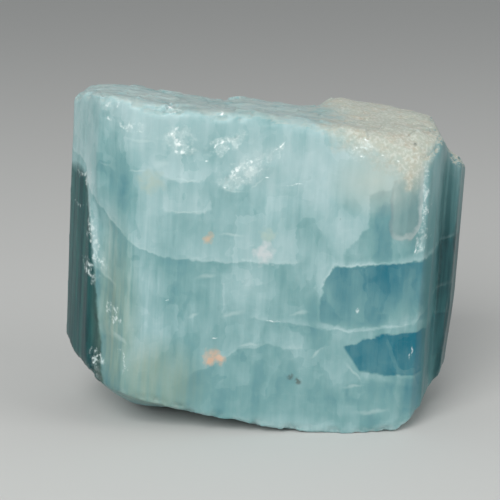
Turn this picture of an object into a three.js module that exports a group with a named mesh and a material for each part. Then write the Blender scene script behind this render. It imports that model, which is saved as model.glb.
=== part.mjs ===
// Aquamarine crystal: one stubby, flattened beryl prism, broken across at both ends.
// It stands on its lower break, with its long prism axis leaning a few degrees to +X.
//
// Millimetres, +Z up. The broad prism face looks along -Y and the crystal's width runs along X.
// The origin is under the middle of the bounding box, at the level of the flat that it stands on.
//
// The skin is a lathed shell whose profile runs from the middle of the lower break, out to its rim,
// up the prism and back to the middle of the upper break. Each of its points is then moved to the
// prism's section, which gives flat faces with vertical edges, and to the two broken surfaces.

import * as THREE from "three";

// Prism
const SECTION_LEVEL = 18; // height at which the section is drawn
const LEAN = Math.tan(THREE.MathUtils.degToRad(3.3)); // drift of the prism axis to +X per mm of height
const FRONT_Y = -12; // plane of the broad face
const SKIN_RIPPLE = { lift: 0.12, pitch: 3.1, stretch: 0.06 }; // growth ribs, drawn out along the prism

// Corners of the section at SECTION_LEVEL, counter-clockwise from the left end of the broad face.
// The re-entrant corner at [19.0, -4.9] is the groove between the main prism and its side column.
const SECTION = [
  [-14.8, -11.9],
  [14.2, -12.0],
  [16.4, -11.1],
  [17.7, -9.2],
  [18.7, -6.2],
  [19.0, -4.9],
  [20.7, -4.1],
  [21.7, -1.0],
  [21.5, 3.0],
  [18.6, 8.2],
  [13.4, 11.5],
  [4.2, 11.9],
  [3.3, 11.3],
  [-12.4, 11.8],
  [-18.0, 9.0],
  [-21.5, 3.2],
  [-22.2, -2.0],
  [-18.6, -9.4],
];

// Upper break: a slope that falls to +X and to the back, with steps across its back half
const TOP = { level: 34.5, fallX: 0.114, fallY: 0.089, twist: 0.001 };
const BACK_HALF = { from: -6, to: 8 };
const TOP_STEPS = [
  { from: -5.2, to: -4.0, lift: 0.95 },
  { from: 5.3, to: 6.7, lift: 1.25 },
];
const KNOB = { x: 7.2, reach: 3, lift: 0.35 }; // on the edge of the higher step
const CREST = { from: 3, to: 16, lift: 0.7 }; // the back rises towards the left end
const TOP_RIPPLE = { lift: 0.35, pitch: 6.5 };
const LEFT_SHOULDER = { start: 19.6, fall: 0.16, power: 1.5 };
const RIGHT_SHOULDER = { start: 17.3, fall: 0.35, power: 1.7 };
const FRONT_WEAR = { start: 10.2, fall: 0.22, power: 1.6 };
// Weathered bevel over the front-right corner: its rim height there, slopes and deepest cut
const BEVEL = { rim: 29.6, x: 17, slopeX: 0.36, slopeY: 0.62, deepest: 5, lift: 0.3, pitch: 4.5 };
// Side column on the +X side: it stops short of the break, behind a steep wall
const LEDGE = { level: 28.6, x: 20.5, fall: 0.5, wall: [18.5, 19.7], lift: 0.15, pitch: 2.5 };

// Lower break: a flat to stand on, chipped away towards its corners
const FRONT_CHIP = { start: -8.2, fall: 0.041, power: 1.5, fade: 1.3 };
const LEFT_CHIP = { start: 14.2, fall: 1.08, power: 1, fade: 0.75 };
const RIGHT_CHIP = { start: 14.4, fall: 0.55, power: 1.15, fade: 0.4 };
const BACK_CHIP = { start: 9.2, fall: 0.5, power: 1 };
const BASE_RIPPLE = { lift: 0.35, pitch: 5, sink: 0.12, grow: [0.2, 1.6] };

// Features of the broad face
const SLAB = { x: 14.6, reach: 2.9, lift: 0.45, foot: [20.6, 22.4] };
const KNOCKED_EDGE = { x: -18.4, reach: 3.4, depth: 0.85, foot: [5, 9], head: [22, 27] };
const FLAKES = [
  { x: -1.5, z: 26.8, reach: 3.6, squeeze: 0.8, depth: 0.35 },
  { x: -8.6, z: 30.2, reach: 3.0, squeeze: 0.9, depth: 0.3 },
];
const COLUMN_FOOT = { x: 19.5, depth: 0.5, taper: [3, 14] };

// Mesh
const EDGE_SPACING = 1.75; // widest gap between two vertical mesh edges on a face
const SIDE_ROWS = 22; // mesh rows from the lower rim to the upper rim
// How far out of the middle each ring of a broken end lies, from the rim inwards
const CAP_RINGS = [0.965, 0.925, 0.885, 0.84, 0.76, 0.66, 0.54, 0.4, 0.22];

const { clamp, lerp, smoothstep } = THREE.MathUtils;

// A smooth bump that is 1 at the middle and 0 from `reach` away on
function bump(distance, reach) {
  return 1 - smoothstep(Math.abs(distance), 0, reach);
}

// How much is worn off past the start of a worn edge
function wear(distance, { start, fall, power }) {
  return fall * Math.max(0, distance - start) ** power;
}

// Uneven but repeatable ripple between about -1 and 1, with features about `pitch` mm apart
function ripple(a, b, pitch) {
  const u = (a / pitch) * 2.4;
  const v = (b / pitch) * 2.4;
  const slow = Math.sin(u + 1.3 * Math.sin(v * 0.7 + 0.4)) * Math.cos(v * 0.8 - 0.6 * Math.sin(u * 0.5));
  const quick = Math.sin(u * 2.3 + v * 1.1 + 2.0) * Math.cos(v * 1.9 - u * 0.7);
  return 0.65 * slow + 0.35 * quick;
}

// The section's corners with extra points along each side, each with its outward direction
function sectionPoints() {
  const corners = SECTION.map(([x, y]) => new THREE.Vector2(x, y));
  const points = [];
  corners.forEach((corner, i) => {
    const next = corners[(i + 1) % corners.length];
    const steps = Math.max(1, Math.ceil(corner.distanceTo(next) / EDGE_SPACING));
    for (let step = 0; step < steps; step++) {
      points.push(corner.clone().lerp(next, step / steps));
    }
  });
  return points.map((place, i) => {
    const before = points[(i + points.length - 1) % points.length];
    const after = points[(i + 1) % points.length];
    const along = after.clone().sub(before).normalize();
    return { place, outward: new THREE.Vector2(along.y, -along.x) };
  });
}

// Height of the upper break over a point. `x` is measured from the leaning axis.
function upperBreak(x, y) {
  const backHalf = smoothstep(y, BACK_HALF.from, BACK_HALF.to);
  let z = TOP.level - TOP.fallX * x - (TOP.fallY + TOP.twist * x) * (y - FRONT_Y);
  for (const { from, to, lift } of TOP_STEPS) z += lift * smoothstep(x, from, to) * backHalf;
  z += KNOB.lift * bump(x - KNOB.x, KNOB.reach) * backHalf;
  z += CREST.lift * smoothstep(-x, CREST.from, CREST.to) * backHalf;
  z += TOP_RIPPLE.lift * ripple(x, y, TOP_RIPPLE.pitch) * (1 - 0.6 * smoothstep(y, 7, 11));
  z -= wear(-x, LEFT_SHOULDER) + wear(x, RIGHT_SHOULDER) + wear(-y, FRONT_WEAR);

  const bevel = BEVEL.rim + BEVEL.slopeY * (y - FRONT_Y) + BEVEL.slopeX * (BEVEL.x - x);
  const rough = BEVEL.lift * ripple(x + BEVEL.deepest, y, BEVEL.pitch);
  z = Math.min(z, Math.max(bevel + rough, z - BEVEL.deepest));

  const ledge = LEDGE.level - LEDGE.fall * (x - LEDGE.x) + LEDGE.lift * ripple(x, y, LEDGE.pitch);
  return lerp(z, Math.min(z, ledge), smoothstep(x, ...LEDGE.wall));
}

// Height of the lower break over a point
function lowerBreak(x, y) {
  const frontReach = clamp(y / FRONT_Y, 0, 1) ** FRONT_CHIP.fade;
  const leftReach = 1 - LEFT_CHIP.fade * smoothstep(y, -3, 9);
  const rightReach = 1 - RIGHT_CHIP.fade * smoothstep(y, 0, 10);
  const front = wear(-x, FRONT_CHIP) * frontReach;
  const left = wear(-x, LEFT_CHIP) * leftReach;
  const right = wear(x, RIGHT_CHIP) * rightReach;
  const depth = Math.hypot(Math.max(front, right), left) + wear(y, BACK_CHIP);
  const rough = BASE_RIPPLE.lift * ripple(x + 3, y - 2, BASE_RIPPLE.pitch);
  return Math.max(0, depth + rough * smoothstep(depth, ...BASE_RIPPLE.grow) - BASE_RIPPLE.sink);
}

// How far the skin stands out of the section, at a place on it and a height
function relief({ x, y }, z) {
  const along = Math.abs(y) > 10 ? x : y * 1.7;
  let out = SKIN_RIPPLE.lift * ripple(along, z * SKIN_RIPPLE.stretch, SKIN_RIPPLE.pitch);
  if (y < -8) {
    // Raised slab under the bevel, with a rounded lower end
    out += SLAB.lift * bump(x - SLAB.x, SLAB.reach) * smoothstep(z, ...SLAB.foot);
    // Front-left edge, knocked off between the two breaks and left rough
    const knock = bump(x - KNOCKED_EDGE.x, KNOCKED_EDGE.reach);
    const span = smoothstep(z, ...KNOCKED_EDGE.foot) * (1 - smoothstep(z, ...KNOCKED_EDGE.head));
    out -= knock * (KNOCKED_EDGE.depth * span - 0.3 * ripple(x, z, 3.4));
    // Shallow shell-shaped flakes off the upper half
    for (const flake of FLAKES) {
      const distance = Math.hypot((x - flake.x) * flake.squeeze, z - flake.z);
      out -= flake.depth * bump(distance, flake.reach);
    }
  }
  // The side column thins out towards its foot
  if (x > COLUMN_FOOT.x) out -= COLUMN_FOOT.depth * (1 - smoothstep(z, ...COLUMN_FOOT.taper));
  return out;
}

// Where a point of the shell goes. `share` is how far out of the middle it lies on a broken end and
// `height` runs from 0 on the lower break to 1 on the upper one. The skin's relief depends on the
// height and the breaks on the place, so a few passes settle the two.
function shellPoint({ place, outward }, share, height) {
  let z = SECTION_LEVEL;
  const skin = new THREE.Vector2();
  for (let pass = 0; pass < 3; pass++) {
    skin.copy(place).addScaledVector(outward, relief(place, z)).multiplyScalar(share);
    z = lerp(lowerBreak(skin.x, skin.y), upperBreak(skin.x, skin.y), height);
  }
  return new THREE.Vector3(skin.x + LEAN * (z - SECTION_LEVEL), skin.y, z);
}

// (share, height) for each point of the lathe profile, from the lower middle to the upper middle
function shellProfile() {
  const profile = [[0, 0]];
  for (const share of CAP_RINGS.toReversed()) profile.push([share, 0]);
  for (let row = 0; row <= SIDE_ROWS; row++) profile.push([1, row / SIDE_ROWS]);
  for (const share of CAP_RINGS) profile.push([share, 1]);
  profile.push([0, 1]);
  return profile.map(([share, height]) => new THREE.Vector2(share, height));
}

function crystalGeometry() {
  const columns = sectionPoints();
  const profile = shellProfile();
  const geometry = new THREE.LatheGeometry(profile, columns.length);
  const positions = geometry.attributes.position;
  for (let i = 0; i < positions.count; i++) {
    const column = columns[Math.floor(i / profile.length) % columns.length];
    const { x: share, y: height } = profile[i % profile.length];
    const point = shellPoint(column, share, height);
    positions.setXYZ(i, point.x, point.y, point.z);
  }
  geometry.computeBoundingBox();
  const { min, max } = geometry.boundingBox;
  geometry.translate(-(min.x + max.x) / 2, -(min.y + max.y) / 2, -min.z);
  geometry.computeVertexNormals();
  return geometry;
}

function makeCrystal() {
  const beryl = new THREE.MeshStandardMaterial({ color: 0x8fb6b8, roughness: 0.35, metalness: 0 });
  const crystal = new THREE.Mesh(crystalGeometry(), beryl);
  crystal.name = "aquamarine_crystal";
  return crystal;
}

const specimen = new THREE.Group();
specimen.name = "aquamarine_specimen";
specimen.add(makeCrystal());

export default specimen;
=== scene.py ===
"""Aquamarine crystal: the looks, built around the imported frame.

One stubby beryl prism with striated faces and broken ends. Its skin is a fine copy of the frame's
solid. Fracture veils, growth tubes and stained specks are sealed inside it.
"""

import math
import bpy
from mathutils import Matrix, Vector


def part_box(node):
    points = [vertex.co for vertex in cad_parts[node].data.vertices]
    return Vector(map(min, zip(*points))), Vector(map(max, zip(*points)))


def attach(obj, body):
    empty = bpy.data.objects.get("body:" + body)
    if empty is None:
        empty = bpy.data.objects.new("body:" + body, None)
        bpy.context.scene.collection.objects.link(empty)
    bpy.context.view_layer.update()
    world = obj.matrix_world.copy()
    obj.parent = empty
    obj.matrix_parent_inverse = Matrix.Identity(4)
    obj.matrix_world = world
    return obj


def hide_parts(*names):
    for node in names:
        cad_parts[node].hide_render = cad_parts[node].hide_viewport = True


bl_info = {
    "name": "Aquamarine crystal",
    "version": (1, 0, 0),
    "blender": (4, 5, 0),
    "location": "3D View > Sidebar > Aquamarine",
    "description": "Builds a rough aquamarine crystal, what is sealed in it and a plain studio stage",
    "category": "Add Mesh",
}

from types import SimpleNamespace

import bmesh
import bpy
import numpy as np
from bpy.props import FloatProperty, FloatVectorProperty, IntProperty, PointerProperty
from mathutils import Vector, noise
from mathutils.bvhtree import BVHTree

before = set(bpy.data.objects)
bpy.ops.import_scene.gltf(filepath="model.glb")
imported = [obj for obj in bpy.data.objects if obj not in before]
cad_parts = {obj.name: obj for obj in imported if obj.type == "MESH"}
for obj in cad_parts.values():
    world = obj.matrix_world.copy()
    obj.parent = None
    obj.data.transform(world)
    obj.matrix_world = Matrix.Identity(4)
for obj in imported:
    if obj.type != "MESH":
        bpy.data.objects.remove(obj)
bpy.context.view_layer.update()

NODE = "aquamarine_crystal"
BODY = "root"
MM = 0.001

# Places below are in mm in the part's own frame: the broad face is the plane y = FRONT_Y.
FRONT_Y = -12.0
LEAN = math.tan(math.radians(3.3))  # the prism axis drifts to +X by this much per mm of height
LEAN_LEVEL = 18.0  # height that the lean is measured from

# Fracture veils. Each meets the broad face along a line of (x, z) points and rises inwards by
# `tilt` mm per mm. The stone over the line is milkier by `milk`, fading out over `over` mm, and the
# stone under it is clearer by `clear`, fading out over `under` mm. `rim` is the bright line itself.
VEILS = {
    "veil_upper": {
        "line": [
            (-24, 28.1), (-19.3, 27.9), (-18.9, 25.3), (-16, 22.4),
            (-13.3, 20.3), (-10.6, 19.4), (-5, 18.9), (5, 18.7),
        ],
        "tilt": 0.16, "milk": 0.08, "over": 6.0, "clear": 0.13, "under": 3.5, "rim": 0.14,
    },
    "veil_right": {
        "line": [(5.6, 14.0), (5.9, 15.8), (7.1, 18.2), (8.3, 18.5), (14.0, 18.6), (15.2, 18.9), (24, 19.6)],
        "tilt": 0.11, "milk": 0.17, "over": 1.0, "clear": 0.0, "under": 1.0, "rim": 0.14,
    },
    "veil_low_right": {
        "line": [
            (-2, 12.9), (2.0, 12.3), (6.0, 11.7), (9.6, 11.3),
            (13.0, 11.7), (16.0, 12.1), (18.2, 13.8), (24, 14.6),
        ],
        "tilt": 0.09, "milk": 0.12, "over": 1.1, "clear": 0.03, "under": 2.0, "rim": 0.14,
    },
    "veil_low": {
        "line": [(-8.5, 6.4), (-4.6, 8.2), (-3.0, 9.2), (-1.0, 9.6), (0.2, 10.0), (2.0, 9.5), (6.0, 9.2)],
        "tilt": 0.12, "milk": 0.05, "over": 3.0, "clear": 0.06, "under": 4.0, "rim": 0.15,
    },
}
VEIL_RIM = 0.3  # mm, width of the bright line where a veil meets a face
VEIL_INSET = 0.55  # mm that a veil stops short of the skin
VEIL_ENDS = 1.6  # mm that a veil stops short of the ends of the width
VEIL_STEP = 0.6  # mm between the rows and columns of a veil's mesh
VEIL_ROUGH = 0.35  # mm that a veil wanders from its level, and how fast per mm

# Clear windows and cloudy slabs under the broad face: a convex outline of (x, z) corners, clockwise;
# the width over which its border fades; and how much milkier it is at two heights
PATCHES = {
    "window_right": {
        "outline": [(7.2, 18.35), (24, 19.3), (24, 12.6), (16, 12.1), (9.6, 11.3), (5.8, 12.4), (5.8, 15.6)],
        "border": 0.3,
        "milk": ((18.4, -0.42), (12.5, -0.17)),
    },
    "window_low": {
        "outline": [
            (8.3, 11.3), (9.6, 11.25), (16, 12.0), (24, 14.4),
            (24, 5.0), (16.0, 6.1), (10.6, 6.2), (8.2, 10.0),
        ],
        "border": 0.3,
        "milk": ((11.5, -0.50), (6.5, -0.40)),
    },
    "window_low_foot": {
        "outline": [(8.4, 5.0), (10.5, 6.2), (17, 4.6), (17, 2.2), (9.0, 3.2)],
        "border": 0.8,
        "milk": ((6.0, -0.16), (3.0, -0.02)),
    },
    "window_shoulder": {
        "outline": [(8.2, 18.7), (8.3, 20.0), (10.0, 21.8), (10.9, 22.6), (13.4, 22.6), (13.4, 18.9)],
        "border": 0.3,
        "milk": ((22.6, -0.20), (19.2, -0.14)),
    },
    "window_under_crust": {
        "outline": [(10.9, 22.6), (10.9, 26.2), (13.4, 26.9), (13.4, 22.6)],
        "border": 0.25,
        "milk": ((26.5, -0.25), (22.6, -0.20)),
    },
    "slab": {
        "outline": [
            (13.3, 27.4), (15.6, 28.9), (16.6, 29.2), (16.6, 23.0),
            (15.8, 21.7), (14.5, 21.1), (13.4, 21.4), (12.9, 22.6),
        ],
        "border": 0.25,
        "milk": ((28.0, -0.26), (21.5, -0.04)),
    },
    "terrace_left": {
        "outline": [(-10.9, 27.4), (-5.8, 27.6), (-5.6, 24.5), (-7.6, 24.15), (-10.6, 24.3)],
        "border": 0.3,
        "milk": ((27.4, -0.03), (24.4, 0.17)),
    },
    "terrace_upper": {
        "outline": [(-12.6, 31.0), (-4.6, 31.0), (-5.0, 28.6), (-6.6, 27.6), (-9.0, 27.5), (-11.2, 28.3)],
        "border": 0.3,
        "milk": ((31.0, -0.03), (27.8, 0.17)),
    },
    "right_foot": {
        "outline": [(15.0, 6.0), (19.5, 6.0), (18.0, 2.0), (14.2, 0.5)],
        "border": 1.2,
        "milk": ((6.0, -0.30), (1.0, -0.14)),
    },
    "left_foot": {
        "outline": [(-18.2, 10.5), (-15.6, 10.2), (-15.5, 4.2), (-18.4, 4.2)],
        "border": 0.35,
        "milk": ((10.0, -0.16), (5.5, -0.24)),
    },
    "left_step": {
        "outline": [(-18.4, 17.4), (-16.0, 15.9), (-15.9, 12.2), (-18.2, 11.0)],
        "border": 0.35,
        "milk": ((17.0, -0.22), (11.5, -0.10)),
    },
}

# Clouds and clear pockets of the body: centre, radii, turn as seen from the front, how much milkier
CLOUDS = [
    ((-14.5, -12, 27.0), (5, 9, 8), 0, -0.11),
    ((-14.9, -12, 26.5), (2.6, 8, 6.0), 0, -0.15),
    ((-16.6, -12, 29.5), (1.6, 8, 4.0), 0, -0.08),
    ((-5.0, -12, 21.5), (11, 9, 6), 0, -0.05),
    ((-17.5, -12, 30.5), (5, 8, 7), 0, -0.12),
    ((-2.3, -12, 12.5), (0.9, 6, 6), 0, 0.10),
    ((-8.7, -12, 10.0), (0.8, 6, 5), 0, 0.10),
    ((-11.0, -12, 22.5), (5.5, 9, 5), 0, -0.12),
    ((3.0, -12, 29.0), (8, 8, 4), 0, 0.05),
    ((9.0, -12, 2.4), (5, 6, 1.4), -4, 0.12),
    ((6.5, -12, 5.6), (4, 6, 2.5), 0, 0.07),
    ((-19.0, -10, 32.0), (4, 8, 6), 0, -0.14),
    ((2.0, -12, 2.5), (8, 6, 3), -4, 0.05),
    ((3.0, -12, 0.9), (16, 5, 1.4), -3, 0.2),
    ((15.2, -12, 20.2), (2.2, 6, 1.8), 0, -0.14),
]

# Places where shell-shaped flakes have sprung off the broad face: (x, z), half width, half height, turn
FLAKES = [
    ((-9.0, 31.8), 2.5, 1.9, -12),
    ((-4.2, 31.5), 3.0, 0.8, 28),
    ((-2.0, 28.7), 4.4, 1.9, 32),
    ((0.6, 30.2), 2.6, 0.45, 42),
    ((-16.9, 35.3), 1.8, 1.1, -20),
    ((1.5, 31.3), 1.2, 0.5, 42),
    ((10.2, 31.0), 1.9, 1.3, 20),
    ((16.4, 20.6), 0.6, 1.9, -12),
    ((-9.6, 35.3), 1.6, 0.5, 0),
]

# Small white cracks and painted glints, bright marks that stand in for light caught by tiny chips: (x, z),
# half length, half width, turn
CRACKS_AND_GLINTS = [
    ((-17.9, 35.9), 0.30, 0.14, -40),
    ((-16.7, 35.3), 0.35, 0.16, -45),
    ((-16.4, 33.9), 0.40, 0.35, 0),
    ((-15.4, 35.6), 0.50, 0.22, 80),
    ((-9.9, 35.2), 0.60, 0.16, 0),
    ((-9.5, 32.8), 1.0, 0.20, 50),
    ((-8.9, 30.7), 0.9, 0.28, -10),
    ((-9.0, 31.7), 0.7, 0.40, 10),
    ((-6.2, 29.7), 0.2, 0.15, 0),
    ((-5.2, 31.2), 0.30, 0.12, 45),
    ((-4.4, 31.6), 0.55, 0.14, 25),
    ((-3.9, 31.0), 0.30, 0.13, 20),
    ((-4.5, 34.7), 0.50, 0.2, 25),
    ((-3.2, 28.6), 1.0, 0.5, 40),
    ((-1.5, 29.6), 0.6, 0.3, 20),
    ((-4.2, 26.9), 0.35, 0.18, 0),
    ((0.2, 28.0), 0.30, 0.12, 20),
    ((1.5, 31.2), 1.05, 0.13, 42),
    ((3.1, 27.3), 1.0, 0.10, 3),
    ((9.4, 31.1), 0.30, 0.16, 30),
    ((10.5, 31.9), 0.25, 0.18, 0),
    ((10.0, 30.3), 0.35, 0.22, -20),
    ((12.2, 30.4), 0.25, 0.15, 0),
    ((13.8, 29.8), 0.22, 0.2, 0),
    ((15.8, 20.1), 0.75, 0.13, 75),
    ((15.8, 9.0), 0.65, 0.11, 78),
    ((15.5, 8.4), 0.45, 0.09, 85),
    ((9.9, 13.7), 0.30, 0.28, 0),
    ((0.9, 12.5), 0.95, 0.11, -4),
    ((-10.5, 14.8), 0.25, 0.12, 0),
    ((-5.4, 10.6), 0.40, 0.10, 0),
]

# Bruised stretches of the left edge, white and speckled: (x, z), half length, half width, turn
BRUISES = [
    ((-18.6, 21.4), 3.2, 0.8, 97),
    ((-17.8, 18.7), 1.6, 0.7, 115),
    ((-18.9, 17.2), 1.8, 0.7, 120),
    ((-16.2, 12.9), 2.0, 0.45, 108),
    ((-15.2, 8.3), 1.8, 0.3, 92),
    ((-19.6, 27.2), 1.3, 0.6, 0),
    ((-20.3, 24.0), 0.5, 0.25, 60),
    ((-13.8, 33.3), 1.8, 0.5, 0),
    ((16.75, 25.6), 5.2, 0.55, 88),
    ((16.1, 20.4), 1.4, 0.4, 70),
    ((-18.6, 7.6), 1.3, 0.6, -35),
]

# Lips of small steps, faint and pale: (x, z), half length, half width, turn
LIPS = [
    ((-3.4, 26.6), 1.6, 0.16, -8),
    ((-8.2, 24.4), 2.4, 0.14, 0),
    ((-8.4, 27.7), 2.4, 0.14, -3),
    ((-0.8, 27.3), 1.3, 0.16, 42),
    ((-10.8, 29.4), 1.2, 0.5, 5),
    ((-17.0, 29.2), 1.0, 0.2, -15),
    ((-13.3, 28.7), 1.2, 0.18, 0),
    ((-18.3, 24.7), 0.9, 0.3, -30),
    ((-3.6, 21.9), 1.6, 0.25, -4),
    ((-13.0, 31.9), 2.2, 0.25, -6),
    ((-6.2, 17.4), 1.6, 0.35, 12),
    ((-3.6, 13.4), 1.8, 0.4, 15),
    ((-7.6, 13.1), 0.9, 0.3, 25),
    ((3.6, 13.4), 1.4, 0.3, 12),
    ((5.5, 9.0), 1.2, 0.25, 40),
    ((9.5, 6.9), 1.8, 0.22, -48),
    ((11.5, 2.5), 2.6, 0.35, 4),
    ((9.5, 5.3), 1.5, 0.25, 12),
    ((-16.9, 16.8), 1.6, 0.35, -28),
    ((-15.6, 10.6), 1.4, 0.3, -30),
    ((-1.8, 9.9), 1.6, 0.2, 6),
]

# Rusty and pale stains under the broad face: (x, z), radius, colour
STAINS = [
    ((-6.15, 21.5), 1.0, "#d0b092"),
    ((-5.7, 8.3), 1.3, "#dcb294"),
    ((0.0, 19.8), 1.5, "#c8cbcb"),
    ((-11.9, 27.6), 1.7, "#a6b8ae"),
    ((0.1, 21.9), 1.3, "#a9bcb2"),
]

# Dark specks in the crust and near the base: (x, z), radius
SPECKS = [
    ((15.7, 31.3), 0.28),
    ((16.1, 33.1), 0.4),
    ((7.8, 23.6), 0.2),
    ((2.7, 6.4), 0.5),
    ((3.6, 5.9), 0.55),
    ((-17.2, 4.6), 0.3),
]


# What else is sealed in the stone
CRYSTAL_VOLUME = 3.0e-5  # m3, the frame's solid to one figure
RUSTY_STAINS = 2  # how many of the stains, from the first, hold crumbs
CRUMBS_PER_STAIN = 9
CRUMB_DEPTH = 1.1  # mm under the broad face
CRUMB_SPREAD = 0.5  # mm that the crumbs of a stain reach
CRUMB_RADIUS = 0.16  # mm
CRUMB_LUMP = 0.12  # mm of unevenness

# The stage: what the camera looks at in mm, its lens and sensor in mm, and in metres each soft
# light's place and width and half the width of the floor
TARGET = (-1.6, 0, 17.8)
LENS = 110
SENSOR = 36
LAMPS = {"key": ((-0.15, -0.42, 0.30), 0.32), "fill": ((0.42, -0.22, 0.22), 0.30)}
SKY = "#d8dbdd"
SKY_STRENGTH = 0.55
FLOOR_REACH = 3.0


def srgb(code):
    """An sRGB hex colour as linear RGBA."""
    parts = [int(code[i : i + 2], 16) / 255 for i in (1, 3, 5)]
    return [c / 12.92 if c <= 0.04045 else ((c + 0.055) / 1.055) ** 2.4 for c in parts] + [1.0]


# Kinds of node that are used most, and the setting of a soft-edged range
MATH = "ShaderNodeMath"
VECTOR = "ShaderNodeVectorMath"
RANGE = "ShaderNodeMapRange"
NOISE = "ShaderNodeTexNoise"
MIX = "ShaderNodeMix"
SPLIT = "ShaderNodeSeparateXYZ"
JOIN = "ShaderNodeCombineXYZ"
SHADER = "ShaderNodeBsdfPrincipled"
RANDOM = "FunctionNodeRandomValue"
SMOOTH = {"interpolation_type": "SMOOTHSTEP"}


def add(tree, kind, inputs=(), out=0, **settings):
    """Adds a node with its settings and returns one output.

    The inputs are values or links: a dict by name or number, or a tuple in the sockets' order.
    """
    node = tree.nodes.new(kind)
    for name, value in settings.items():
        setattr(node, name, value)
    pairs = inputs.items() if isinstance(inputs, dict) else enumerate(inputs)
    for key, value in pairs:
        named = [s for s in node.inputs if s.enabled and s.name == key]
        socket = named[0] if named else node.inputs[key]
        if isinstance(value, bpy.types.NodeSocket):
            tree.links.new(value, socket)
        else:
            socket.default_value = value
    shown = [s for s in node.outputs if s.enabled]
    return next((s for s in shown if s.name == out), None) or shown[out]


# Settings

LENGTH = {"precision": 5, "subtype": "DISTANCE", "unit": "LENGTH"}
COLOUR = {"size": 3, "min": 0, "max": 1, "subtype": "COLOR"}
POWER = {"subtype": "POWER", "unit": "POWER"}


class AQUAMARINE_PG_crystal(bpy.types.PropertyGroup):
    """Sizes and colours of the crystal's skin."""

    voxel: FloatProperty(
        name="Skin detail", description="Edge of the cells that the skin is rebuilt from",
        default=0.28 * MM, min=0.15 * MM, **LENGTH,
    )
    rib_height: FloatProperty(
        name="Rib height", description="How far the growth ribs stand out of the prism faces",
        default=0.16 * MM, min=0, **LENGTH,
    )
    rib_pitch: FloatProperty(
        name="Rib pitch", description="Distance from one growth rib to the next", default=1.5 * MM,
        min=0.2 * MM, **LENGTH,
    )
    facet_size: FloatProperty(
        name="Facet size", description="Width of the facets on the broken ends", default=2.4 * MM,
        min=0.3 * MM, **LENGTH,
    )
    facet_height: FloatProperty(
        name="Facet height", description="Relief of the facets on the broken ends", default=0.45 * MM,
        min=0, **LENGTH,
    )
    chip_depth: FloatProperty(
        name="Chip depth", description="Deepest chip out of a prism edge", default=0.7 * MM, min=0,
        **LENGTH,
    )
    deep: FloatVectorProperty(
        name="Deep beryl", description="Colour of the clear stone under a veil",
        default=srgb("#157a8e")[:3], **COLOUR,
    )
    body: FloatVectorProperty(
        name="Body beryl", description="Colour of the ordinary, lightly clouded stone",
        default=srgb("#7aa5a6")[:3], **COLOUR,
    )
    milky: FloatVectorProperty(
        name="Milky beryl", description="Colour of the most clouded stone", default=srgb("#b2c8c9")[:3],
        **COLOUR,
    )


class AQUAMARINE_PG_inside(bpy.types.PropertyGroup):
    """Sizes of what is sealed in the crystal."""

    veil_thickness: FloatProperty(
        name="Veil thickness", description="Thickness of a fracture veil", default=0.06 * MM,
        min=0.02 * MM, **LENGTH,
    )
    tube_count: IntProperty(
        name="Growth tubes", description="How many hair-thin hollow tubes run along the prism",
        default=140, min=1, max=2000,
    )
    tube_radius: FloatProperty(
        name="Tube radius", description="Radius of the widest growth tube", default=0.07 * MM,
        min=0.01 * MM, **LENGTH,
    )
    tube_length: FloatProperty(
        name="Tube length", description="Length of the longest growth tube", default=9 * MM, min=1 * MM,
        **LENGTH,
    )
    seed: IntProperty(
        name="Seed", description="Seed of the places of the tubes and specks", default=7, min=0,
    )


class AQUAMARINE_PG_stage(bpy.types.PropertyGroup):
    """The plain stage and its soft light."""

    floor: FloatVectorProperty(
        name="Floor", description="Colour of the matt floor", default=srgb("#c9c9c6")[:3], **COLOUR,
    )
    elevation: FloatProperty(
        name="Camera elevation", description="Height of the camera above the horizon",
        default=math.radians(12), subtype="ANGLE", unit="ROTATION",
    )
    distance: FloatProperty(
        name="Camera distance", description="Distance from the camera to the point that it looks at",
        default=173 * MM, **LENGTH,
    )
    key_power: FloatProperty(
        name="Key light", description="Power of the large soft light over the camera", default=2.45,
        **POWER,
    )
    fill_power: FloatProperty(
        name="Fill light", description="Power of the weaker soft light from the right", default=0.7,
        **POWER,
    )


class AQUAMARINE_PG_all(bpy.types.PropertyGroup):
    """All settings of the crystal and its stage."""

    crystal: PointerProperty(type=AQUAMARINE_PG_crystal)
    inside: PointerProperty(type=AQUAMARINE_PG_inside)
    stage: PointerProperty(type=AQUAMARINE_PG_stage)


# Mesh helpers


def start_material(name):
    """A new material and its empty tree."""
    material = bpy.data.materials.new(name)
    material.use_nodes = True
    material.node_tree.nodes.clear()
    return material, material.node_tree


def end_material(tree, shader, volume=None):
    """Ends a material's tree in its surface and, in clear stone, its volume."""
    result = tree.nodes.new("ShaderNodeOutputMaterial")
    tree.links.new(shader, result.inputs["Surface"])
    if volume:
        tree.links.new(volume, result.inputs["Volume"])


def put(name, mesh, material=None):
    """A new object of this mesh, in the scene's collection, at the origin."""
    piece = bpy.data.objects.new(name, mesh)
    bpy.context.scene.collection.objects.link(piece)
    if material:
        mesh.materials.clear()
        mesh.materials.append(material)
    return piece


def make_plain(piece):
    """Replaces the object's mesh by the result of its modifiers and removes them."""
    graph = bpy.context.evaluated_depsgraph_get()
    made = bpy.data.meshes.new_from_object(piece.evaluated_get(graph))
    piece.modifiers.clear()
    piece.data = made
    made.name = piece.name
    if not made.polygons:
        raise RuntimeError(f"{piece.name} came out empty")


def run_nodes(piece, tree, values):
    """Runs a Geometry Nodes tree on the piece with these named inputs and keeps its plain mesh."""
    modifier = piece.modifiers.new(tree.name, "NODES")
    modifier.node_group = tree
    for item in tree.interface.items_tree:
        if item.in_out == "INPUT" and item.name in values:
            modifier[item.identifier] = values[item.name]
    make_plain(piece)


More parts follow.
